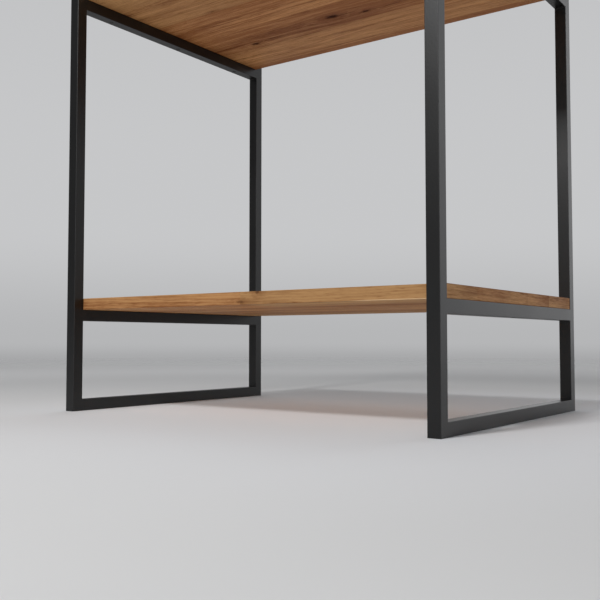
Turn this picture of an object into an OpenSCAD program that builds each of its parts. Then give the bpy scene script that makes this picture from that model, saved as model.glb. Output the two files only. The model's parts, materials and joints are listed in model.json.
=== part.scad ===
// Standing-height desk: two welded side frames of square steel tube, a solid wood top
// and a solid wood shelf that lie on the frames' rails between the legs.
// Origin: on the floor, at the middle of the footprint. X runs along the desk, +Y to its back.

/* [Desk] */
// Width of the desk, over the two side frames
desk_w = 1100; // [900:10:1400]
// Depth of the desk, over the front and rear legs
desk_d = 800; // [600:10:900]
// Height of the desk surface above the floor
desk_h = 1150; // [1000:10:1250]
// Height of the shelf surface above the floor
shelf_h = 300; // [200:10:500]

/* [Steel tube] */
// Side of the square tube
tube = 30; // [28:1:36]
// Wall thickness of the tube
wall = 2; // [1.5:0.5:2.5]
// Outer corner radius of the tube
tube_r = 1; // [0.5:0.5:3]
// Inner corner radius of the tube
tube_in_r = 0.5; // [0.2:0.1:1]
// Leg length of the fillet weld under or on a rail's end
bead = 2.5; // [1.5:0.5:4]
// Thickness of the plate that closes the top of a leg
cap_t = 3; // [2:0.5:5]

/* [Boards] */
// Thickness of the top and the shelf
board_t = 30; // [28:1:40]
// Gap between a board's long edge and the legs
board_gap = 0.5; // [0.3:0.1:2]
// How far a board's end sits inside the side frame's outer face
board_inset = 1; // [0.5:0.5:5]
// Radius of a board's eased edges
board_r = 1.2; // [0.5:0.1:3]

/* [Board fixings] */
// Distance from the middle fixing on a rail to the outer two
fix_pitch = 270; // [180:10:280]
// Radius of the M6 screw's shank
screw_r = 2.98; // [2.9:0.01:2.99]
// Length of the screw below its head
screw_len = 20; // [16:1:22]
// Radius of the screw's head
head_r = 5; // [4.5:0.1:5.5]
// Height of the screw's head
head_h = 6; // [4:0.5:6]
// Radius of the hole for the screw, and half the width of the slots
slot_r = 3.3; // [3.2:0.1:3.5]
// Length of the slots that let the wood move
slot_len = 12; // [8:1:14]
// Radius of the large washer
washer_r = 9; // [8:0.5:10]
// Thickness of the large washer
washer_t = 1.6; // [1:0.1:2]
// Outer radius of the threaded insert in the wood
insert_r = 5; // [4.8:0.1:5.5]
// Length of the threaded insert in the wood
insert_len = 14; // [10:1:15]
// Radius of the access hole in a rail's underside
access_r = 7; // [6:0.5:8]

/* [Levelling feet] */
// How far a foot can be wound out
foot_travel = 15; // [5:1:18]
// Radius of the M10 levelling stud
stud_r = 4.95; // [4.9:0.01:4.97]
// Length of the threaded insert in a leg's end
socket_len = 20; // [15:1:25]
// Radius of the foot pad
pad_r = 12; // [10:0.5:12]
// Height of the foot pad
pad_h = 9; // [8:0.5:12]

/* [Hidden] */
$fn = 48;

STEEL = [0.15, 0.15, 0.155];
OAK = [0.65, 0.46, 0.29];
ZINC = [0.72, 0.73, 0.74];
NYLON = [0.08, 0.08, 0.085];

LEFT = -1;
RIGHT = 1;
FRONT = -1;
REAR = 1;

leg_x = desk_w/2 - tube/2;
leg_y = desk_d/2 - tube/2;
rail_len = desk_d - 2*tube;
inner = tube - 2*wall;
bottom_rail_z = tube/2;
shelf_rail_z = shelf_h - board_t - tube/2;
top_rail_z = desk_h - board_t - tube/2;

board_w = desk_w - 2*board_inset;
board_d = rail_len - 2*board_gap;
fix_y = [-fix_pitch, 0, fix_pitch];

fit = 0.05;               // clearance round a piece that is set in a hole or a tube
insert_bore_r = screw_r + 0.07;
insert_hole_depth = 22;   // leaves room past the screw's tip
hex_key_r = 2.9;          // across the corners of a 5 mm hexagon socket
head_socket_depth = 3.5;
plug_len = 4;
plug_lip = 0.4;

shoulder_r = 7;           // flange at the stud's foot, held inside the pad
shoulder_h = 3;
pad_floor = 3;            // thickness of the pad under the flange
pad_key_hole_r = 4;
pad_chamfer = 1;
stop_gap = 0.2;           // left between the pad and the socket when the foot is wound in
socket_bottom = pad_h + stop_gap;
stud_top = socket_bottom + socket_len + foot_travel + 5;
stud_chamfer = 0.8;
key_socket_depth = 6;
cut = 1;                  // how far a cutting shape runs past the face that it cuts

// ---- tube stock ----

module round_square(side, r) {
    square([side - 2*r, side], center = true);
    square([side, side - 2*r], center = true);
    for (sx = [-1, 1], sy = [-1, 1])
        translate([sx*(side/2 - r), sy*(side/2 - r)]) circle(r);
}

module tube_section() {
    difference() {
        round_square(tube, tube_r);
        round_square(inner, tube_in_r);
    }
}

// Turns an outline in X and Z so that it runs along Y, centred on y = 0
module along_y(length) {
    rotate([90, 0, 0]) linear_extrude(length, center = true) children();
}

// ---- side frames ----

module leg(side, end) {
    color(STEEL) translate([side*leg_x, end*leg_y, 0])
        linear_extrude(desk_h) tube_section();
}

module plain_rail(side, z) {
    color(STEEL) translate([side*leg_x, 0, z]) along_y(rail_len) tube_section();
}

// A rail that carries a board: screw holes in its upper wall, access holes in its lower wall
module board_rail(side, z) {
    color(STEEL) difference() {
        plain_rail(side, z);
        for (y = fix_y) translate([side*leg_x, y, z]) {
            translate([0, 0, tube/2 - wall - cut]) linear_extrude(wall + 2*cut) {
                slot = y == 0 ? 0 : slot_len/2 - slot_r;
                for (s = [-1, 1]) translate([0, s*slot]) circle(slot_r);
                square([2*slot_r, 2*slot + 0.01], center = true);
            }
            translate([0, 0, -tube/2 - cut]) cylinder(h = wall + 2*cut, r = access_r);
        }
    }
}

// Weld metal that fills the grooves beside the leg's rounded corners, dressed flush
module groove_fill(side, end, z) {
    intersection() {
        translate([side*leg_x, 0, z]) along_y(desk_d) round_square(tube, tube_r);
        translate([side*leg_x, end*leg_y, z - tube/2]) linear_extrude(tube)
            for (s = [-1, 1]) difference() {
                translate([s*(tube/2 - tube_r/2), -end*(tube/2 - tube_r/2)])
                    square(tube_r, center = true);
                translate([s*(tube/2 - tube_r), -end*(tube/2 - tube_r)]) circle(tube_r);
            }
    }
}

// Fillet weld across one flat of a rail's end: up = 1 lies on the rail, up = -1 under it
module fillet_weld(side, end, z, up) {
    translate([side*leg_x, end*rail_len/2, z + up*tube/2])
        rotate([90, 0, 90]) linear_extrude(tube - 2*tube_r, center = true)
            polygon([[0, 0], [-end*bead, 0], [0, up*bead]]);
}

module flush_welds(side) {
    color(STEEL) for (end = [FRONT, REAR], z = [bottom_rail_z, shelf_rail_z, top_rail_z])
        groove_fill(side, end, z);
}

// The boards and the floor leave only one open flat on each rail for a fillet
module fillet_welds(side) {
    color(STEEL) for (end = [FRONT, REAR]) {
        fillet_weld(side, end, bottom_rail_z, 1);
        fillet_weld(side, end, shelf_rail_z, -1);
        fillet_weld(side, end, top_rail_z, -1);
    }
}

module leg_cap(side, end) {
    color(STEEL) translate([side*leg_x, end*leg_y, desk_h - cap_t])
        linear_extrude(cap_t) round_square(inner - 2*fit, tube_in_r);
}

// ---- boards ----

module eased_rect(w, h) {
    square([w - 2*board_r, h], center = true);
    square([w, h - 2*board_r], center = true);
    for (sx = [-1, 1], sy = [-1, 1])
        translate([sx*(w/2 - board_r), sy*(h/2 - board_r)]) circle(board_r);
}

// A board whose lower face is at z, with blind holes for the threaded inserts
module board(z) {
    color(OAK) difference() {
        translate([0, 0, z + board_t/2]) intersection() {
            rotate([90, 0, 90]) linear_extrude(board_w, center = true)
                eased_rect(board_d, board_t);
            along_y(board_d) eased_rect(board_w, board_t);
        }
        at_fixings() translate([0, 0, z - cut])
            cylinder(h = insert_hole_depth + cut, r = insert_r + fit);
    }
}

// ---- board fixings ----

module at_fixings() {
    for (side = [LEFT, RIGHT], y = fix_y) translate([side*leg_x, y, 0]) children();
}

module board_inserts(z) {
    color(ZINC) at_fixings() translate([0, 0, z]) difference() {
        cylinder(h = insert_len, r = insert_r);
        translate([0, 0, -cut]) cylinder(h = insert_len + 2*cut, r = insert_bore_r);
    }
}

module screws(z) {
    bearing_z = z - wall - washer_t;
    color(ZINC) at_fixings() translate([0, 0, bearing_z]) difference() {
        union() {
            cylinder(h = screw_len, r = screw_r);
            translate([0, 0, -head_h]) cylinder(h = head_h, r = head_r);
        }
        translate([0, 0, -head_h - cut])
            cylinder(h = head_socket_depth + cut, r = hex_key_r, $fn = 6);
    }
}

module washers(z) {
    color(ZINC) at_fixings() translate([0, 0, z - wall - washer_t]) difference() {
        cylinder(h = washer_t, r = washer_r);
        translate([0, 0, -cut]) cylinder(h = washer_t + 2*cut, r = slot_r);
    }
}

// Plug that is pushed into an access hole, with a snap lip inside the tube
module plugs(z) {
    color(NYLON) at_fixings() translate([0, 0, z - tube]) {
        cylinder(h = plug_len, r = access_r - fit);
        translate([0, 0, wall]) cylinder(h = plug_len - wall, r = access_r + plug_lip);
    }
}

// ---- levelling feet ----

// Threaded insert pressed into a leg's bottom end
module foot_socket(side, end) {
    color(ZINC) translate([side*leg_x, end*leg_y, socket_bottom]) difference() {
        linear_extrude(socket_len) round_square(inner - 2*fit, tube_in_r);
        translate([0, 0, -cut]) cylinder(h = socket_len + 2*cut, r = stud_r + fit);
    }
}

// Stud with a flange that the pad is snapped over, and a hexagon socket in its lower end
module foot_stud(side, end) {
    color(ZINC) translate([side*leg_x, end*leg_y, 0]) difference() {
        union() {
            translate([0, 0, pad_floor]) cylinder(h = shoulder_h, r = shoulder_r);
            translate([0, 0, pad_floor])
                cylinder(h = stud_top - pad_floor - stud_chamfer, r = stud_r);
            translate([0, 0, stud_top - stud_chamfer])
                cylinder(h = stud_chamfer, r1 = stud_r, r2 = stud_r - stud_chamfer);
        }
        translate([0, 0, pad_floor - cut])
            cylinder(h = key_socket_depth + cut, r = hex_key_r, $fn = 6);
    }
}

module foot_pad(side, end) {
    pocket_r = shoulder_r + fit;
    pocket_top = pad_floor + shoulder_h + fit;
    neck_r = stud_r + fit;
    color(NYLON) translate([side*leg_x, end*leg_y, 0]) rotate_extrude() polygon([
        [pad_key_hole_r, 0],
        [pad_r - pad_chamfer, 0],
        [pad_r, pad_chamfer],
        [pad_r, pad_h - pad_chamfer],
        [pad_r - pad_chamfer, pad_h],
        [neck_r, pad_h],
        [neck_r, pocket_top],
        [pocket_r, pocket_top],
        [pocket_r, pad_floor],
        [pad_key_hole_r, pad_floor],
    ]);
}

// ---- nodes ----

leg(LEFT, FRONT);  // left_front_leg
leg(LEFT, REAR);  // left_rear_leg
leg(RIGHT, FRONT);  // right_front_leg
leg(RIGHT, REAR);  // right_rear_leg
plain_rail(LEFT, bottom_rail_z);  // left_bottom_rail
plain_rail(RIGHT, bottom_rail_z);  // right_bottom_rail
board_rail(LEFT, shelf_rail_z);  // left_shelf_rail
board_rail(RIGHT, shelf_rail_z);  // right_shelf_rail
board_rail(LEFT, top_rail_z);  // left_top_rail
board_rail(RIGHT, top_rail_z);  // right_top_rail
flush_welds(LEFT);  // left_flush_welds
flush_welds(RIGHT);  // right_flush_welds
fillet_welds(LEFT);  // left_fillet_welds
fillet_welds(RIGHT);  // right_fillet_welds
leg_cap(LEFT, FRONT);  // left_front_leg_cap
leg_cap(LEFT, REAR);  // left_rear_leg_cap
leg_cap(RIGHT, FRONT);  // right_front_leg_cap
leg_cap(RIGHT, REAR);  // right_rear_leg_cap
board(shelf_h - board_t);  // shelf_board
board(desk_h - board_t);  // top_board
board_inserts(shelf_h - board_t);  // shelf_inserts
board_inserts(desk_h - board_t);  // top_inserts
screws(shelf_h - board_t);  // shelf_screws
screws(desk_h - board_t);  // top_screws
washers(shelf_h - board_t);  // shelf_washers
washers(desk_h - board_t);  // top_washers
plugs(shelf_h - board_t);  // shelf_rail_plugs
plugs(desk_h - board_t);  // top_rail_plugs
foot_socket(LEFT, FRONT);  // left_front_foot_socket
foot_socket(LEFT, REAR);  // left_rear_foot_socket
foot_socket(RIGHT, FRONT);  // right_front_foot_socket
foot_socket(RIGHT, REAR);  // right_rear_foot_socket
foot_stud(LEFT, FRONT);  // left_front_foot_stud
foot_stud(LEFT, REAR);  // left_rear_foot_stud
foot_stud(RIGHT, FRONT);  // right_front_foot_stud
foot_stud(RIGHT, REAR);  // right_rear_foot_stud
foot_pad(LEFT, FRONT);  // left_front_foot_pad
foot_pad(LEFT, REAR);  // left_rear_foot_pad
foot_pad(RIGHT, FRONT);  // right_front_foot_pad
foot_pad(RIGHT, REAR);  // right_rear_foot_pad
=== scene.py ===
import json
import math

import bmesh
import bpy
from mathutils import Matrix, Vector


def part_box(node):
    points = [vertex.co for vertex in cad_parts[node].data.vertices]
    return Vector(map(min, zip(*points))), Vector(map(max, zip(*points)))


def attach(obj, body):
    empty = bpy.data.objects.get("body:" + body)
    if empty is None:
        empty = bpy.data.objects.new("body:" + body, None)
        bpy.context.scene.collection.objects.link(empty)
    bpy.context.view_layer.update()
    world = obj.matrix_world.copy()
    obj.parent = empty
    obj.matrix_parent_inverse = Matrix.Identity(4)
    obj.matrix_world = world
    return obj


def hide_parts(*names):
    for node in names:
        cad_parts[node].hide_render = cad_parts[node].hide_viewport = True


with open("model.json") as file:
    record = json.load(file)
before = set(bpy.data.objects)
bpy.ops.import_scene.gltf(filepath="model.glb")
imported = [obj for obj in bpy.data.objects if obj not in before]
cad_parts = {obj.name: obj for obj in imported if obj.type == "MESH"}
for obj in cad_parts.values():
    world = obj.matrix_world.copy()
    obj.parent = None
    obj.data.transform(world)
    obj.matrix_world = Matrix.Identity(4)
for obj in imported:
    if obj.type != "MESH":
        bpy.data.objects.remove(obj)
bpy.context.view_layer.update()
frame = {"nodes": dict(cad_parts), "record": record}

# A standing desk with a shelf. Its steel tubes and its hidden fixings are the CAD solids in
# their materials. The oak boards, weld beads, rail plugs and levelling feet are modelled here.

MM = 0.001
SIDES = ("left", "right")
ENDS = ("front", "rear")
CORNERS = [f"{side}_{end}" for side in SIDES for end in ENDS]
ROOT = "desk"


# ---------------------------------------------------------------- node graphs

class Graph:
    """Shorthand for building one node tree."""

    def __init__(self, tree):
        tree.nodes.clear()
        self.tree = tree

    def feed(self, socket, value):
        if isinstance(value, bpy.types.NodeSocket):
            self.tree.links.new(value, socket)
        else:
            socket.default_value = value

    def node(self, kind, inputs=None, **settings):
        node = self.tree.nodes.new(kind)
        for key, value in settings.items():
            setattr(node, key, value)
        for key, value in (inputs or {}).items():
            self.feed(node.inputs[key], value)
        return node

    def math(self, operation, *values, clamp=False):
        inputs = dict(enumerate(values))
        return self.node("ShaderNodeMath", inputs, operation=operation, use_clamp=clamp).outputs[0]

    def add(self, *values):
        total = values[0]
        for value in values[1:]:
            total = self.math("ADD", total, value)
        return total

    def mul(self, *values):
        total = values[0]
        for value in values[1:]:
            total = self.math("MULTIPLY", total, value)
        return total

    def sub(self, a, b):
        return self.math("SUBTRACT", a, b)

    def div(self, a, b):
        return self.math("DIVIDE", a, b)

    def max(self, a, b):
        return self.math("MAXIMUM", a, b)

    def abs(self, value):
        return self.math("ABSOLUTE", value)

    def length(self, *values):
        return self.math("SQRT", self.add(*[self.mul(v, v) for v in values]))

    def vector(self, x, y, z):
        return self.node("ShaderNodeCombineXYZ", {0: x, 1: y, 2: z}).outputs[0]

    def step(self, value, low, high, to_low=0.0, to_high=1.0):
        """Smooth change from to_low to to_high as value goes from low to high."""
        inputs = {0: value, 1: low, 2: high, 3: to_low, 4: to_high}
        return self.node("ShaderNodeMapRange", inputs, interpolation_type="SMOOTHSTEP").outputs[0]

    def noise(self, vector, scale=1.0, detail=2.0, roughness=0.5):
        inputs = {"Vector": vector, "Scale": scale, "Detail": detail, "Roughness": roughness}
        return self.node("ShaderNodeTexNoise", inputs).outputs[0]

    def waver(self, x, y, z, **settings):
        """Noise about zero at the place x, y, z."""
        return self.sub(self.noise(self.vector(x, y, z), **settings), 0.5)

    def random(self, value):
        return self.node("ShaderNodeTexWhiteNoise", {"W": value},
                         noise_dimensions="1D").outputs[0]

    def mix(self, factor, a, b):
        node = self.node("ShaderNodeMix", data_type="RGBA")
        for index, value in ((0, factor), (6, a), (7, b)):
            self.feed(node.inputs[index], value)
        return node.outputs[2]

    def bump(self, height, distance, normal=None):
        inputs = {"Strength": 1.0, "Distance": distance, "Height": height}
        if normal is not None:
            inputs["Normal"] = normal
        return self.node("ShaderNodeBump", inputs).outputs[0]

    def object_xyz(self):
        coordinates = self.node("ShaderNodeTexCoord").outputs["Object"]
        split = self.node("ShaderNodeSeparateXYZ", {0: coordinates})
        return coordinates, split.outputs[0], split.outputs[1], split.outputs[2]

    def principled(self, **inputs):
        shader = self.node("ShaderNodeBsdfPrincipled", inputs)
        output = self.node("ShaderNodeOutputMaterial")
        self.tree.links.new(shader.outputs[0], output.inputs[0])


def new_material(name):
    material = bpy.data.materials.new(name)
    material.use_nodes = True
    return material, Graph(material.node_tree)


# ---------------------------------------------------------------- materials

def powder_coat():
    """Satin charcoal powder coat: fine orange peel, a little uneven in gloss and tone."""
    material, g = new_material("powder_coat")
    xyz, *_ = g.object_xyz()
    cloud = g.noise(xyz, scale=9, detail=3)
    grain = g.noise(xyz, scale=700, detail=2)
    peel = g.noise(xyz, scale=220, detail=1)
    colour = g.mix(cloud, (0.0020, 0.0020, 0.0021, 1), (0.0032, 0.0032, 0.0033, 1))
    roughness = g.add(0.30, g.mul(cloud, 0.06), g.mul(grain, 0.05))
    normal = g.bump(grain, 0.03*MM, normal=g.bump(peel, 0.10*MM))
    g.principled(**{"Base Color": colour, "Roughness": roughness, "Normal": normal,
                    "IOR": 1.5})
    return material


def zinc():
    """Bright zinc plate with faint turning marks."""
    material, g = new_material("zinc")
    xyz, _, _, z = g.object_xyz()
    marks = g.noise(g.vector(0.0, 0.0, g.mul(z, 6000)), detail=1)
    cloud = g.noise(xyz, scale=240, detail=3)
    colour = g.mix(cloud, (0.50, 0.51, 0.53, 1), (0.66, 0.67, 0.66, 1))
    g.principled(**{"Base Color": colour, "Metallic": 1.0,
                    "Roughness": g.add(0.22, g.mul(cloud, 0.18)),
                    "Normal": g.bump(marks, 0.02*MM)})
    return material


def nylon():
    """Moulded black nylon with a fine spark-eroded grain."""
    material, g = new_material("nylon")
    xyz, *_ = g.object_xyz()
    grain = g.noise(xyz, scale=1800, detail=2)
    cloud = g.noise(xyz, scale=90, detail=2)
    colour = g.mix(cloud, (0.012, 0.012, 0.013, 1), (0.022, 0.022, 0.023, 1))
    g.principled(**{"Base Color": colour, "Roughness": g.add(0.5, g.mul(grain, 0.15)),
                    "Normal": g.bump(grain, 0.03*MM)})
    return material


STAVE_WIDTH = 0.145
# A board's ends and long edges have their own look to the first depth, and it is gone by the second
EDGE_FULL, EDGE_GONE = 0.9*MM, 1.4*MM

# Oiled oak: its palest wood, its usual darker wood, dark heartwood, the inside of a crack, the
# straw-coloured wood of some staves, and a painted highlight along an arris
OAK_PALE = (0.650, 0.345, 0.142, 1)
OAK_MID = (0.360, 0.150, 0.053, 1)
OAK_DEEP = (0.185, 0.058, 0.016, 1)
OAK_BLACK = (0.040, 0.011, 0.003, 1)
OAK_STRAW = (0.520, 0.330, 0.145, 1)
OAK_PAINTED_HIGHLIGHT = (0.850, 0.600, 0.360, 1)


def stave_looks(g, y, low, high, first_joint, looks):
    """How dark and how straw-coloured each stave is, changing at the glue joints."""
    place = g.div(g.sub(y, low.y), high.y - low.y)
    node = g.node("ShaderNodeValToRGB", {0: place})
    ramp = node.color_ramp
    ramp.interpolation = "CONSTANT"
    for i, (tone, straw) in enumerate(looks):
        joint = first_joint + STAVE_WIDTH*(i - 1)
        start = 0.0 if i == 0 else (joint - low.y)/(high.y - low.y)
        stop = ramp.elements[i] if i < 2 else ramp.elements.new(start)
        stop.position = start
        stop.color = (tone, straw, 0, 1)
    parts = g.node("ShaderNodeSeparateColor", {0: node.outputs[0]})
    return parts.outputs[0], parts.outputs[1]


def knot_marks(g, x, y, z, knots):
    """How far the grain swells round the knots, how dark they are, and how near they are."""
    swell, dark, halo = 0.0, 0.0, 0.0
    ragged = g.noise(g.vector(g.mul(x, 90), g.mul(y, 420), g.mul(z, 420)), detail=2)
    for kx, ky, kz, radius, depth, darkness in knots:
        dx, dy, dz = g.sub(x, kx), g.sub(y, ky), g.sub(z, kz)
        near = g.length(g.mul(dx, 0.22/radius), g.mul(dy, 0.55/radius), g.mul(dz, 0.5/depth))
        core = g.length(g.mul(dx, 0.50/radius), g.mul(dy, 1.0/radius), g.mul(dz, 1.0/depth))
        core = g.add(core, g.mul(ragged, 1.2))
        swell = g.add(swell, g.mul(dy, g.step(near, 0.0, 2.2, -0.7, 0.0)))
        dark = g.max(dark, g.step(core, 0.9, 1.5, darkness, 0.0))
        halo = g.max(halo, g.step(near, 0.0, 1.8, darkness, 0.0))
    return swell, dark, halo


def crack_marks(g, x, y, z, cracks):
    """How dark the cracks are, which waver along the grain."""
    dark = 0.0
    for cx, cy, cz, half, depth in cracks:
        wave = g.mul(g.waver(g.mul(x, 24), cy*90, 0.0, detail=3), 0.012)
        reach = g.div(g.sub(x, cx), half)
        aside = g.div(g.sub(g.add(y, wave), cy), 1.3*MM)
        below = g.div(g.sub(z, cz), depth)
        split = g.add(g.mul(aside, aside), g.mul(reach, reach), g.mul(below, below))
        dark = g.max(dark, g.step(split, 0.3, 1.0, 0.8, 0.0))
    return dark


def oak(name, low, high, first_joint, seed, looks, heart, knots=(), cracks=(), splice=None,
        painted_arris_highlight=None):
    """Solid oak in staves along X, as a solid texture, so edges and ends match the faces.

    low and high are the board's corners. first_joint is the y of the front stave's glue joint,
    and the others follow every STAVE_WIDTH. seed gives the board its own wood. looks is the
    (darkness, straw colour) of each stave, from the front. heart is the (x, y, half length,
    half width) of a streak of dark heartwood. knots are (x, y, z, radius, depth, darkness) and
    cracks are (x, y, z, half length, depth), with z measured from the board's middle. splice is
    the x where the front stave changes to another length of oak. The last argument is the
    (x, half length) of a painted highlight: a paler stretch painted along the lower front arris.
    """
    material, g = new_material(name)
    _, x, y, z = g.object_xyz()
    z = g.sub(z, (low.z + high.z)/2)
    half_thickness = (high.z - low.z)/2

    # which stave this is, and whether it is the front stave's second length
    position = g.div(g.sub(y, first_joint), STAVE_WIDTH)
    stave = g.add(g.math("FLOOR", position), seed)
    across = g.mul(g.sub(g.math("FRACT", position), 0.5), STAVE_WIDTH)
    second = 0.0
    if splice is not None:
        in_front_stave = g.math("LESS_THAN", y, first_joint)
        second = g.mul(g.math("GREATER_THAN", x, splice), in_front_stave)
        stave = g.add(stave, g.mul(second, 0.37))

    def chance(key):
        return g.random(g.add(g.mul(stave, 3.17), key))

    # the grain wanders along each stave, and swells and curls round the knots
    swell, dark, halo = knot_marks(g, x, y, z, knots)
    along = g.add(x, g.mul(chance(0.3), 9.0))
    wander = g.waver(g.mul(along, 1.6), g.mul(stave, 2.3), 0.0)
    curl = g.waver(g.mul(x, 26), g.mul(y, 60), g.mul(z, 60))
    flow = g.add(y, swell, g.mul(wander, 0.022), g.mul(curl, halo, 0.045))

    # grain coordinates: u along the grain, v and w across it; a board's ends show fine layers
    at_end = g.step(g.abs(x), high.x - EDGE_GONE, high.x - EDGE_FULL)
    at_side = g.step(g.abs(y), high.y - EDGE_GONE, high.y - EDGE_FULL)
    on_face = g.sub(1.0, g.max(at_end, at_side))

    def turn(on_board, on_end):
        return g.add(g.mul(on_board, g.sub(1.0, at_end)), g.mul(on_end, at_end))

    u, v, w = turn(along, y), turn(flow, g.add(z, g.mul(y, 0.02))), turn(z, x)

    def streaks(scale_along, scale_across, detail=3.0):
        return g.waver(g.mul(u, scale_along), g.mul(v, scale_across), g.mul(w, scale_across),
                       detail=detail, roughness=0.6)

    broad = streaks(1.5, 38)
    medium = streaks(5, 130)
    fleck = streaks(32, 300)
    fine = streaks(14, 700)
    pores = g.step(streaks(38, 1300, 1.0), 0.09, 0.20)
    cloud = g.waver(g.mul(along, 1.4), g.mul(y, 7), g.mul(z, 7))

    # growth rings round a pith that lies under or over each stave
    drift = g.waver(g.mul(along, 0.7), g.mul(stave, 1.1), 5.0, detail=1)
    ring_y = g.add(across, swell, g.mul(g.sub(chance(1.3), 0.5), 0.09), g.mul(wander, 0.03))
    ring_z = g.add(z, 0.055, g.mul(chance(2.3), 0.05), g.mul(drift, 0.05))
    rings = g.div(g.add(g.length(ring_y, ring_z), g.mul(broad, 0.006)), 0.0046)
    ring = g.math("FRACT", rings)
    late = g.mul(g.step(ring, 0.10, 0.85), g.step(ring, 0.88, 1.0, 1.0, 0.0))

    # all these add up to the figure, over each stave's own tone
    figure = g.add(g.mul(broad, 2.0), g.mul(medium, 1.3), g.mul(fine, 1.5), g.mul(cloud, 2.2),
                   g.mul(fleck, turn(g.add(0.9, g.mul(on_face, 0.4)), 1.4)),
                   g.mul(late, turn(0.42, 0.08)))
    stave_shade, straw = stave_looks(g, y, low, high, first_joint, looks)
    tone = g.add(turn(0.25, 0.50), figure, g.mul(stave_shade, turn(1.0, 0.4)),
                 g.mul(second, g.add(0.15, g.mul(medium, 1.5), broad)))
    straw = g.mul(g.max(g.mul(second, 0.45), straw), turn(1.0, 0.4))
    colour = g.mix(g.math("ADD", tone, 0.0, clamp=True), OAK_PALE, OAK_MID)
    colour = g.mix(straw, colour, OAK_STRAW)

    # dark heartwood in a streak, in thin lines elsewhere, and round the knots
    heart_x, heart_y, half_length, half_width = heart
    aside = g.div(g.add(g.sub(flow, heart_y), g.mul(wander, 0.03)), half_width)
    beyond = g.div(g.sub(x, heart_x), half_length)
    band = g.math("POWER", 0.5, g.add(g.mul(aside, aside), g.math("POWER", beyond, 4.0)))
    shade = g.add(g.mul(broad, 1.6), g.mul(medium, 1.2), g.mul(fleck, 1.2))
    deep = g.add(g.mul(band, g.step(shade, -0.35, 0.40, 0.38, 0.90)),
                 g.step(shade, 0.16, 0.60, 0.0, 0.75))
    deep = g.max(deep, g.mul(halo, g.step(shade, -0.3, 0.3, 0.55, 1.0)))
    colour = g.mix(g.math("MINIMUM", deep, 0.92), colour, OAK_DEEP)
    colour = g.mix(g.mul(pores, 0.45), colour, OAK_DEEP)

    # painted shade: the long edges are painted darker to tone down the strong light from the front,
    # and the ends' arrises get painted dark lines for shade and for the contact shadow where the
    # board sits on the rail
    colour = g.mix(g.mul(at_side, 0.405), colour, OAK_BLACK)
    arris = g.step(g.abs(z), half_thickness - 2.2*MM, half_thickness - 0.8*MM)
    colour = g.mix(g.mul(at_end, arris, 0.55), colour, OAK_DEEP)
    # painted highlight: a paler stretch painted along the lower front arris, where light catches
    # the eased edge
    if painted_arris_highlight:
        middle, reach = painted_arris_highlight
        beside = g.step(g.abs(g.sub(x, middle)), reach*0.6, reach, 1.0, 0.0)
        below = g.math("LESS_THAN", z, 0.0)
        in_front = g.math("LESS_THAN", y, 0.0)
        painted_highlight = g.mul(arris, at_side, beside, below, in_front, 0.60)
        colour = g.mix(painted_highlight, colour, OAK_PAINTED_HIGHLIGHT)

    dark = g.max(dark, crack_marks(g, x, y, z, cracks))
    colour = g.mix(dark, colour, OAK_BLACK)
    height = g.add(g.mul(fine, 0.6), g.mul(fleck, 0.4), g.mul(pores, -0.5), g.mul(dark, -1.5))
    roughness = g.add(0.58, g.mul(fine, 0.4), g.mul(dark, 0.3), g.mul(pores, 0.1))
    g.principled(**{"Base Color": colour, "Roughness": roughness, "IOR": 1.4,
                    "Specular IOR Level": 0.1, "Normal": g.bump(height, 0.15*MM)})
    return material


# ---------------------------------------------------------------- meshes

def mesh_piece(name, bm, material, *replaced, body=ROOT, slot=None):
    """Turns bm into an object of the desk that rides on a body and stands for CAD nodes."""
    mesh = bpy.data.meshes.new(name)
    bm.to_mesh(mesh)
    bm.free()
    piece = bpy.data.objects.new(name, mesh)
    bpy.context.scene.collection.objects.link(piece)
    mesh.materials.append(material)
    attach(piece, body)
    if replaced:
        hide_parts(*replaced)
    return piece


def skin(bm, rings, closed=False):
    """Joins each ring of vertices to the next with quads, and the last to the first if closed."""
    pairs = list(zip(rings, rings[1:]))
    if closed:
        pairs.append((rings[-1], rings[0]))
    for a, b in pairs:
        for i in range(len(a)):
            j = (i + 1) % len(a)
            bm.faces.new((a[i], a[j], b[j], b[i]))


def lathe(bm, profile, base, segments, closed=False, change=None):
    """Adds a solid of revolution: profile is (radius, height over base) from axis to axis."""
    rings = []
    for r, z in profile:
        ring = []
        for i in range(segments):
            angle = math.tau*i/segments
            radius = change(angle, r, z) if change else r
            if r > 0 or not ring:
                offset = Vector((radius*math.cos(angle), radius*math.sin(angle), z))
                ring.append(bm.verts.new(base + offset))
        rings.append(ring)
    if not closed:
        for pole, ring in ((rings[0], rings[1]), (rings[-1], rings[-2])):
            for i in range(segments):
                bm.faces.new((pole[0], ring[i], ring[(i + 1) % segments]))
        rings = rings[1:-1]
    skin(bm, rings, closed)
    bmesh.ops.recalc_face_normals(bm, faces=bm.faces)


def smooth(piece, degrees):
    """Smooth shading, except across edges sharper than the angle."""
    mesh = piece.data
    mesh.shade_smooth()
    mesh.set_sharp_from_angle(angle=math.radians(degrees))


# Steps in each quarter turn of an eased edge
EASE_STEPS = 4


def quarter_turn():
    return [math.pi/2*i/EASE_STEPS for i in range(EASE_STEPS + 1)]


def stave_outline(y0, y1, z0, z1, ease_left, ease_right):
    """Cross-section of a stave in Y and Z, with its long edges eased."""
    points = []
    corners = (
        (y1, z1, ease_right, 0.0), (y0, z1, ease_left, math.pi/2),
        (y0, z0, ease_left, math.pi), (y1, z0, ease_right, math.pi*3/2),
    )
    for cy, cz, ease, start in corners:
        oy = cy + (-ease if cy == y1 else ease)
        oz = cz + (-ease if cz == z1 else ease)
        for turn in quarter_turn():
            points.append((oy + ease*math.cos(start + turn), oz + ease*math.sin(start + turn)))
    return points


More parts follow.
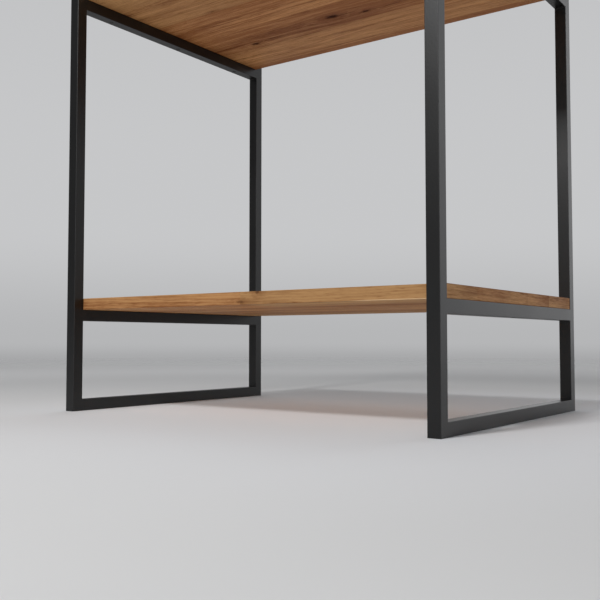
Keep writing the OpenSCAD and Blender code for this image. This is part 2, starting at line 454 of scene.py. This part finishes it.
def board_mesh(low, high, first_joint):
    """A board glued up from staves, each its own shell, with eased edges and fine joints."""
    outer_ease, joint_ease, end_ease, narrowest = 1.2*MM, 0.15*MM, 1.2*MM, 10*MM
    joint_count = math.ceil((high.y - narrowest - first_joint)/STAVE_WIDTH)
    joints = [first_joint + STAVE_WIDTH*i for i in range(joint_count)]
    edges = [low.y, *joints, high.y]

    # the outline's places along X, and how far its faces are drawn in there
    sections = []
    for turn in quarter_turn():
        sections.append((low.x + end_ease*(1 - math.cos(turn)), end_ease*(1 - math.sin(turn))))
    for turn in reversed(quarter_turn()):
        sections.append((high.x - end_ease*(1 - math.cos(turn)), end_ease*(1 - math.sin(turn))))

    bm = bmesh.new()
    for y0, y1 in zip(edges, edges[1:]):
        left = outer_ease if y0 == low.y else joint_ease
        right = outer_ease if y1 == high.y else joint_ease
        rings = []
        for x, inset in sections:
            outline = stave_outline(y0, y1, low.z + inset, high.z - inset, left, right)
            rings.append([bm.verts.new((x, *point)) for point in outline])
        skin(bm, rings)
        bm.faces.new(list(reversed(rings[0])))
        bm.faces.new(rings[-1])
    bmesh.ops.recalc_face_normals(bm, faces=bm.faces)
    return bm


# ---------------------------------------------------------------- the desk

def dress_cad_nodes(finishes):
    """Gives each CAD node that stays in view the material of its slot."""
    slots = {part["node"]: part["material_slot"] for part in frame["record"]["subparts"]}
    for name, node in frame["nodes"].items():
        node.data.materials.clear()
        node.data.materials.append(finishes[slots[name]])


def make_boards():
    marks = {
        "top": dict(
            first_joint=-0.245, seed=40.0, heart=(-0.22, 0.155, 0.37, 0.042),
            looks=((0.05, 0.40), (0.02, 0.30), (0.22, 0.0), (0.30, 0.0), (0.0, 0.10), (0.75, 0.0)),
            knots=[(-0.360, 0.170, -0.015, 0.011, 0.03, 0.90),
                   (-0.045, 0.125, -0.015, 0.016, 0.03, 1.0),
                   (0.055, 0.147, -0.015, 0.009, 0.03, 1.0),
                   (-0.302, -0.104, -0.015, 0.005, 0.02, 0.45)],
            cracks=[(-0.49, 0.155, -0.015, 0.08, 0.02), (-0.29, 0.163, -0.015, 0.08, 0.02),
                    (-0.01, 0.128, -0.015, 0.06, 0.02), (0.12, 0.146, -0.015, 0.08, 0.02)]),
        "shelf": dict(
            first_joint=-0.225, seed=71.0, heart=(0.26, -0.166, 0.20, 0.011), splice=0.027,
            # a painted highlight along the shelf's lower front arris
            painted_arris_highlight=(0.50, 0.20),
            looks=((0.06, 0.0), (0.16, 0.0), (0.0, 0.12), (0.06, 0.0), (0.0, 0.22), (0.12, 0.0)),
            knots=[(0.077, -0.370, 0.014, 0.004, 0.008, 0.60),
                   (0.026, -0.370, -0.009, 0.009, 0.005, 0.50)],
            cracks=[(0.30, -0.168, 0.0, 0.09, 0.05)]),
    }
    for board, settings in marks.items():
        low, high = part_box(f"{board}_board")
        mesh_piece(f"{board}_board_staves", board_mesh(low, high, settings["first_joint"]),
                   oak(f"oak_{board}", low, high, **settings), f"{board}_board", slot="oak")


def along_rails(node):
    """The places of the six fixings that a node's solids are centred on, in X and Y."""
    low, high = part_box(node)
    reach_x = (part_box("right_shelf_rail")[0].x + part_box("right_shelf_rail")[1].x)/2
    reach_y = (high.y - low.y)/2 - (high.x - reach_x)
    return [(x, y) for x in (-reach_x, reach_x) for y in (-reach_y, 0.0, reach_y)]


def make_plugs(material):
    """Moulded plugs, flush with the rails' undersides, each with a dished face."""
    wall, lip, ease = 2*MM, 0.4*MM, 0.35*MM
    dish_depth, dish_inner, dish_outer = 0.4*MM, 4.6*MM, 5.1*MM
    for board in ("shelf", "top"):
        node = f"{board}_rail_plugs"
        low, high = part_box(node)
        centres = along_rails(node)
        outer = high.x - centres[-1][0]
        body = outer - lip
        profile = [
            (0.0, dish_depth), (dish_inner, dish_depth), (dish_outer, 0.0), (body - ease, 0.0),
            (body, ease), (body, wall), (outer, wall + 0.1*MM),
            (body, high.z - low.z), (0.0, high.z - low.z),
        ]
        bm = bmesh.new()
        for x, y in centres:
            lathe(bm, profile, Vector((x, y, low.z)), 36)
        mesh_piece(f"{board}_rail_plug_set", bm, material, node, slot="black_nylon")


def make_beads(material):
    """Rippled fillet welds across the open flat of each rail's end."""
    for side in SIDES:
        node = f"{side}_fillet_welds"
        low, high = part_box(node)
        rails = {name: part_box(f"{side}_{name}_rail") for name in ("bottom", "shelf", "top")}
        bm = bmesh.new()
        for name, (rail_low, rail_high) in rails.items():
            up = 1 if name == "bottom" else -1
            z = rail_high.z if up > 0 else rail_low.z
            for y, inward in ((low.y, 1), (high.y, -1)):
                bead(bm, low.x, high.x, y, inward, z, up)
        mesh_piece(f"{side}_weld_beads", bm, material, node, slot="powder_coated_steel")


def bead(bm, x0, x1, y, inward, z, up):
    """One bead from x0 to x1 in the corner at y, z; its cap bulges in overlapping scallops."""
    leg, ripple = 2.5*MM, 1.3*MM
    steps, arc = 120, 8
    rings = []
    for i in range(steps + 1):
        x = x0 + (x1 - x0)*i/steps
        from_end = min(1.0, min(x - x0, x1 - x)/leg + 0.02)
        taper = math.sqrt(from_end*(2 - from_end))
        points = [(x, y, z)]
        for j in range(arc + 1):
            turn = math.pi/2*j/arc
            bow = math.sin(2*turn)
            wave = ((x - x0)/ripple + 0.45*bow) % 1
            size = leg*taper*(0.80 + 0.10*bow + 0.10*math.sqrt(wave)*bow)
            shrink = 1/max(math.cos(turn) + math.sin(turn), 1.0)
            reach = size*(shrink + (1 - shrink)*0.45)
            points.append((x, y + inward*reach*math.cos(turn), z + up*reach*math.sin(turn)))
        rings.append([bm.verts.new(point) for point in points])
    skin(bm, rings)
    bm.faces.new(rings[0])
    bm.faces.new(list(reversed(rings[-1])))
    bmesh.ops.recalc_face_normals(bm, faces=bm.faces)


PITCH = 1.5*MM
THREAD_DEPTH = 0.613*PITCH
HEX_SIDES = 6


def thread_radius(crest, z, angle):
    """Radius of a right-hand ISO thread at height z: flat crests and roots, 60 degree flanks."""
    phase = (z/PITCH - angle/math.tau) % 1
    off = min(phase, 1 - phase)
    return crest - THREAD_DEPTH*min(max((off - 1/16)/(5/16), 0.0), 1.0)


def hex_radius(corner, angle):
    """Radius of a hexagon socket in the direction of angle, from its corner radius."""
    sector = math.tau/HEX_SIDES
    return corner*math.cos(sector/2)/math.cos(angle % sector - sector/2)


def stud_mesh(low, high, centre):
    """Levelling stud: cut thread, flange, and a hexagon socket in its lower end."""
    segments = 36
    flange = high.x - centre.x
    crest = 4.95*MM
    root = crest - THREAD_DEPTH
    flange_top, chamfer, hex_corner, hex_depth = low.z + 3*MM, 0.3*MM, 2.9*MM, 6*MM

    def ring(bm, radius, z):
        points = []
        for i in range(segments):
            angle = math.tau*i/segments
            r = radius(angle)
            points.append((centre.x + r*math.cos(angle), centre.y + r*math.sin(angle), z))
        return [bm.verts.new(point) for point in points]

    def round_at(radius):
        return lambda angle: radius

    bm = bmesh.new()
    rings = [
        ring(bm, lambda angle: hex_radius(hex_corner, angle), low.z + hex_depth),
        ring(bm, lambda angle: hex_radius(hex_corner, angle), low.z + chamfer),
        ring(bm, lambda angle: hex_radius(hex_corner, angle) + chamfer, low.z),
        ring(bm, round_at(flange - chamfer), low.z),
        ring(bm, round_at(flange), low.z + chamfer),
        ring(bm, round_at(flange), flange_top - chamfer),
        ring(bm, round_at(flange - chamfer), flange_top),
        ring(bm, round_at(root), flange_top),
    ]
    rows = int((high.z - flange_top)/(PITCH/8))
    for row in range(1, rows + 1):
        z = flange_top + (high.z - flange_top)*row/rows
        limit = min(root + (z - flange_top), crest - 0.8*MM + (high.z - z))
        rings.append(ring(bm, lambda angle: min(thread_radius(crest, z, angle), limit), z))
    skin(bm, rings)
    bm.faces.new(rings[0])
    bm.faces.new(list(reversed(rings[-1])))
    bmesh.ops.recalc_face_normals(bm, faces=bm.faces)
    return bm


def pad_mesh(low, high, centre):
    """Moulded foot pad: fluted side, grip rings underneath, and a pocket round the flange."""
    outer = high.x - centre.x
    height = high.z - low.z
    groove, depth = 0.8*MM, 0.6*MM
    key_hole, pocket, neck, pocket_floor, pocket_top = 4*MM, 7.05*MM, 5*MM, 3*MM, 6.05*MM
    profile = [(key_hole, 0.4*MM), (key_hole + 0.4*MM, 0.0)]
    for r in (5.6*MM, 7.6*MM, 9.6*MM):
        profile += [(r, 0.0), (r, depth), (r + groove, depth), (r + groove, 0.0)]
    profile += [
        (outer - 1*MM, 0.0), (outer - 0.3*MM, 0.3*MM), (outer, 1*MM), (outer, height - 1*MM),
        (outer - 0.3*MM, height - 0.3*MM), (outer - 1*MM, height), (neck, height),
        (neck, pocket_top), (pocket, pocket_top), (pocket, pocket_floor),
        (key_hole, pocket_floor),
    ]

    def flute(angle, r, z):
        on_side = 1.5*MM < z < height - 1.5*MM or r > outer - 0.1*MM
        return r - (0.35*MM if on_side and math.cos(24*angle) > 0.4 else 0.0)

    bm = bmesh.new()
    lathe(bm, profile, Vector((centre.x, centre.y, low.z)), 144, closed=True, change=flute)
    return bm


def make_feet(metal, plastic):
    for corner in CORNERS:
        for kind, build, material, slot in (
                ("stud", stud_mesh, metal, "zinc_plated_steel"),
                ("pad", pad_mesh, plastic, "black_nylon")):
            node = f"{corner}_foot_{kind}"
            low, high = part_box(node)
            piece = mesh_piece(f"{corner}_level_{kind}", build(low, high, (low + high)/2),
                               material, node, body=node, slot=slot)
            smooth(piece, 35)


# ---------------------------------------------------------------- studio

FLOOR_RADIUS = 9.0
# Where the floor begins and ends to fade, as distances from its middle
FADE_START, FADE_END = 3.0, 7.5

# Painted light on the floor: a pool of light painted paler beside the desk, the plain floor tone
# round it, and paler paint again far from it, painted to blend into the bright backdrop
PAINTED_LIGHT_NEAR_DESK = (0.81, 0.82, 0.84, 1)
PAINT_ROUND = (0.68, 0.68, 0.68, 1)
PAINTED_LIGHT_FAR = (0.80, 0.80, 0.80, 1)


def make_floor():
    """A pale floor that fades into the backdrop before it ends."""
    bm = bmesh.new()
    bmesh.ops.create_circle(bm, cap_ends=True, segments=128, radius=FLOOR_RADIUS)
    mesh = bpy.data.meshes.new("floor")
    bm.to_mesh(mesh)
    bm.free()
    floor = bpy.data.objects.new("floor", mesh)
    bpy.context.scene.collection.objects.link(floor)
    material, g = new_material("floor_paint")
    xyz, x, y, _ = g.object_xyz()
    from_desk = g.length(g.sub(x, 0.3), y)
    from_middle = g.length(x, y)
    # painted light: paler paint beside the desk as a pool of light, and paler paint far out to
    # match the backdrop
    colour = g.mix(g.step(from_desk, 0.5, 1.4, 1.0, 0.0), PAINT_ROUND, PAINTED_LIGHT_NEAR_DESK)
    colour = g.mix(g.step(from_middle, 1.8, 3.0), colour, PAINTED_LIGHT_FAR)
    cloud = g.noise(xyz, scale=1.2, detail=2)
    colour = g.mix(g.mul(cloud, 0.03), colour, (0, 0, 0, 1))
    paint = g.node("ShaderNodeBsdfDiffuse", {"Color": colour})
    clear = g.node("ShaderNodeBsdfTransparent")
    fade = g.step(from_middle, FADE_START, FADE_END)
    mixed = g.node("ShaderNodeMixShader", {0: fade, 1: paint.outputs[0], 2: clear.outputs[0]})
    output = g.node("ShaderNodeOutputMaterial")
    g.tree.links.new(mixed.outputs[0], output.inputs[0])
    mesh.materials.append(material)


# Soft light from the room: azimuth from +Y towards +X and elevation in degrees, how narrow
# each pool of light is, its strength, and its strength in reflections
ROOM_LIGHT = (
    (0, 12, 7, 1.95, 1.32),
    (45, 12, 7, 0.0, 0.36),
    (90, 12, 7, 0.22, 0.0),
    (135, 12, 7, 0.0, 2.65),
    (180, 12, 7, 2.37, 0.15),
    (-135, 12, 7, 0.0, 0.20),
    (-45, 12, 7, 1.90, 0.0),
    (90, 50, 5, 0.0, 0.15),
)

# The backdrop's brightness at the foot, and its changes with height: where each begins and ends,
# as the sine of the elevation, and how much it adds
BACKDROP_FOOT = 0.378
BACKDROP_CHANGES = ((-0.0265, -0.001, 0.09), (-0.004, 0.13, 0.105), (0.2, 0.45, -0.03))
LIGHT_COLOUR = (0.990, 0.998, 1.015, 1)


def make_world():
    """Soft pools of light round the desk, and a plain pale backdrop for the camera."""
    world = bpy.data.worlds.new("studio")
    bpy.context.scene.world = world
    world.use_nodes = True
    g = Graph(world.node_tree)
    direction = g.node("ShaderNodeTexCoord").outputs["Generated"]
    split = g.node("ShaderNodeSeparateXYZ", {0: direction})
    dx, dy, dz = split.outputs
    paths = g.node("ShaderNodeLightPath")
    from_camera, in_reflection = paths.outputs["Is Camera Ray"], paths.outputs["Is Glossy Ray"]
    room = 0.0
    for azimuth, elevation, narrowness, strength, reflected in ROOM_LIGHT:
        turn, lift = math.radians(azimuth), math.radians(elevation)
        towards = g.add(g.mul(dx, math.sin(turn)*math.cos(lift)),
                        g.mul(dy, math.cos(turn)*math.cos(lift)), g.mul(dz, math.sin(lift)))
        pool = g.math("POWER", math.e, g.mul(g.sub(towards, 1.0), narrowness))
        level = g.add(strength, g.mul(in_reflection, reflected - strength))
        room = g.add(room, g.mul(pool, level))
    backdrop = BACKDROP_FOOT
    for start, end, change in BACKDROP_CHANGES:
        backdrop = g.add(backdrop, g.step(dz, start, end, 0.0, change))
    strength = g.add(g.mul(from_camera, backdrop), g.mul(g.sub(1.0, from_camera), room))
    background = g.node("ShaderNodeBackground", {"Color": LIGHT_COLOUR, "Strength": strength})
    output = g.node("ShaderNodeOutputWorld")
    g.tree.links.new(background.outputs[0], output.inputs[0])


# A small square lamp in front of the desk, over the camera's height, which throws the shadow
KEY_SIZE, KEY_WATTS = 0.4, 53
KEY_PLACE = Vector((0.05, -2.7, 2.3))
KEY_AIM = Vector((0.0, 0.2, 0.5))


def make_key_light():
    light = bpy.data.lights.new("key", "AREA")
    light.shape = "SQUARE"
    light.size = KEY_SIZE
    light.energy = KEY_WATTS
    key = bpy.data.objects.new("key", light)
    key.location = KEY_PLACE
    key.rotation_euler = (KEY_AIM - KEY_PLACE).to_track_quat("-Z", "Y").to_euler()
    bpy.context.scene.collection.objects.link(key)


# The camera's lens, its place, how far it looks up, and its turn from +Y towards -X in degrees
CAMERA_LENS = 50.5
CAMERA_PLACE = (1.2729, -1.8658, 0.1884)
CAMERA_LIFT, CAMERA_TURN = 2.73, 35.72


def make_camera():
    camera = bpy.data.cameras.new("camera")
    camera.lens = CAMERA_LENS
    camera.sensor_width = 36
    camera.clip_end = 100
    view = bpy.data.objects.new("camera", camera)
    view.location = CAMERA_PLACE
    view.rotation_euler = (math.radians(90 + CAMERA_LIFT), 0, math.radians(CAMERA_TURN))
    bpy.context.scene.collection.objects.link(view)
    bpy.context.scene.camera = view


bpy.context.scene.view_settings.view_transform = "Standard"
steel, metal, plastic = powder_coat(), zinc(), nylon()
dress_cad_nodes({
    "powder_coated_steel": steel,
    "oak": steel,
    "zinc_plated_steel": metal,
    "black_nylon": plastic,
})
make_boards()
make_beads(steel)
make_plugs(plastic)
make_feet(metal, plastic)
make_floor()
make_world()
make_key_light()
make_camera()
